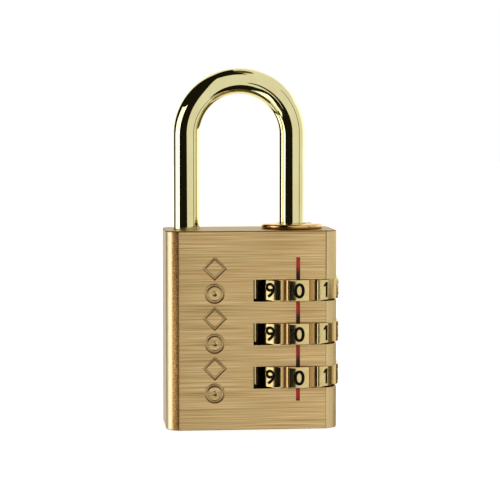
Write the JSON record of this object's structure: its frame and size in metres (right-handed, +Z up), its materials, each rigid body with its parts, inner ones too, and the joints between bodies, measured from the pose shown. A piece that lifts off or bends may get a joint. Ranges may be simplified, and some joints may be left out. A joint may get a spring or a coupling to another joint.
{
  "type": "combination padlock",
  "caption": "Brass-bodied combination padlock with numbered wheels showing through side slots and a lifting steel shackle.",
  "frame": {"origin": "centre of the body's flat bottom face", "axes": "+Z up along the shackle's legs, -Y the front face with the index line, +X towards the side where the number wheels stand out"},
  "size_m": [0.0311, 0.0164, 0.063],
  "materials": {
    "brushed_brass": "brushed across",
    "polished_brass": "polished",
    "brass_plated_steel": "mirror plated, pale brass",
    "turned_brass": "as turned",
    "spring_steel": "drawn wire",
    "index_paint": "red enamel in the groove",
    "number_paint": "black enamel in the numbers"
  },
  "bodies": {
    "case": {"body": "brushed_brass", "collar_bushing": "polished_brass", "seat_ring": "turned_brass", "code_change_wave_spring": "spring_steel", "lower_spacer_ring": "turned_brass", "upper_spacer_ring": "turned_brass", "top_spacer_tube": "turned_brass", "shackle_spring": "spring_steel", "detent_plunger_top": "spring_steel", "detent_spring_top": "spring_steel", "detent_plunger_middle": "spring_steel", "detent_spring_middle": "spring_steel", "detent_plunger_bottom": "spring_steel", "detent_spring_bottom": "spring_steel"},
    "shackle": {"shackle": "brass_plated_steel"},
    "wheel_top": {"number_wheel_top": "polished_brass", "gate_sleeve_top": "turned_brass"},
    "wheel_middle": {"number_wheel_middle": "polished_brass", "gate_sleeve_middle": "turned_brass"},
    "wheel_bottom": {"number_wheel_bottom": "polished_brass", "gate_sleeve_bottom": "turned_brass"}
  },
  "joints": [
    {"name": "shackle_lift", "type": "slide", "parent": "case", "child": "shackle", "axis": [0, 0, 1], "range_m": [0, 0.0076], "deforming": ["shackle_spring"]},
    {"name": "turn_top_wheel", "type": "hinge", "parent": "case", "child": "wheel_top", "pos_m": [0.0077, 0, 0.02435], "axis": [0, 0, 1], "continuous": true},
    {"name": "turn_middle_wheel", "type": "hinge", "parent": "case", "child": "wheel_middle", "pos_m": [0.0077, 0, 0.01675], "axis": [0, 0, 1], "continuous": true},
    {"name": "turn_bottom_wheel", "type": "hinge", "parent": "case", "child": "wheel_bottom", "pos_m": [0.0077, 0, 0.00915], "axis": [0, 0, 1], "continuous": true}
  ]
}
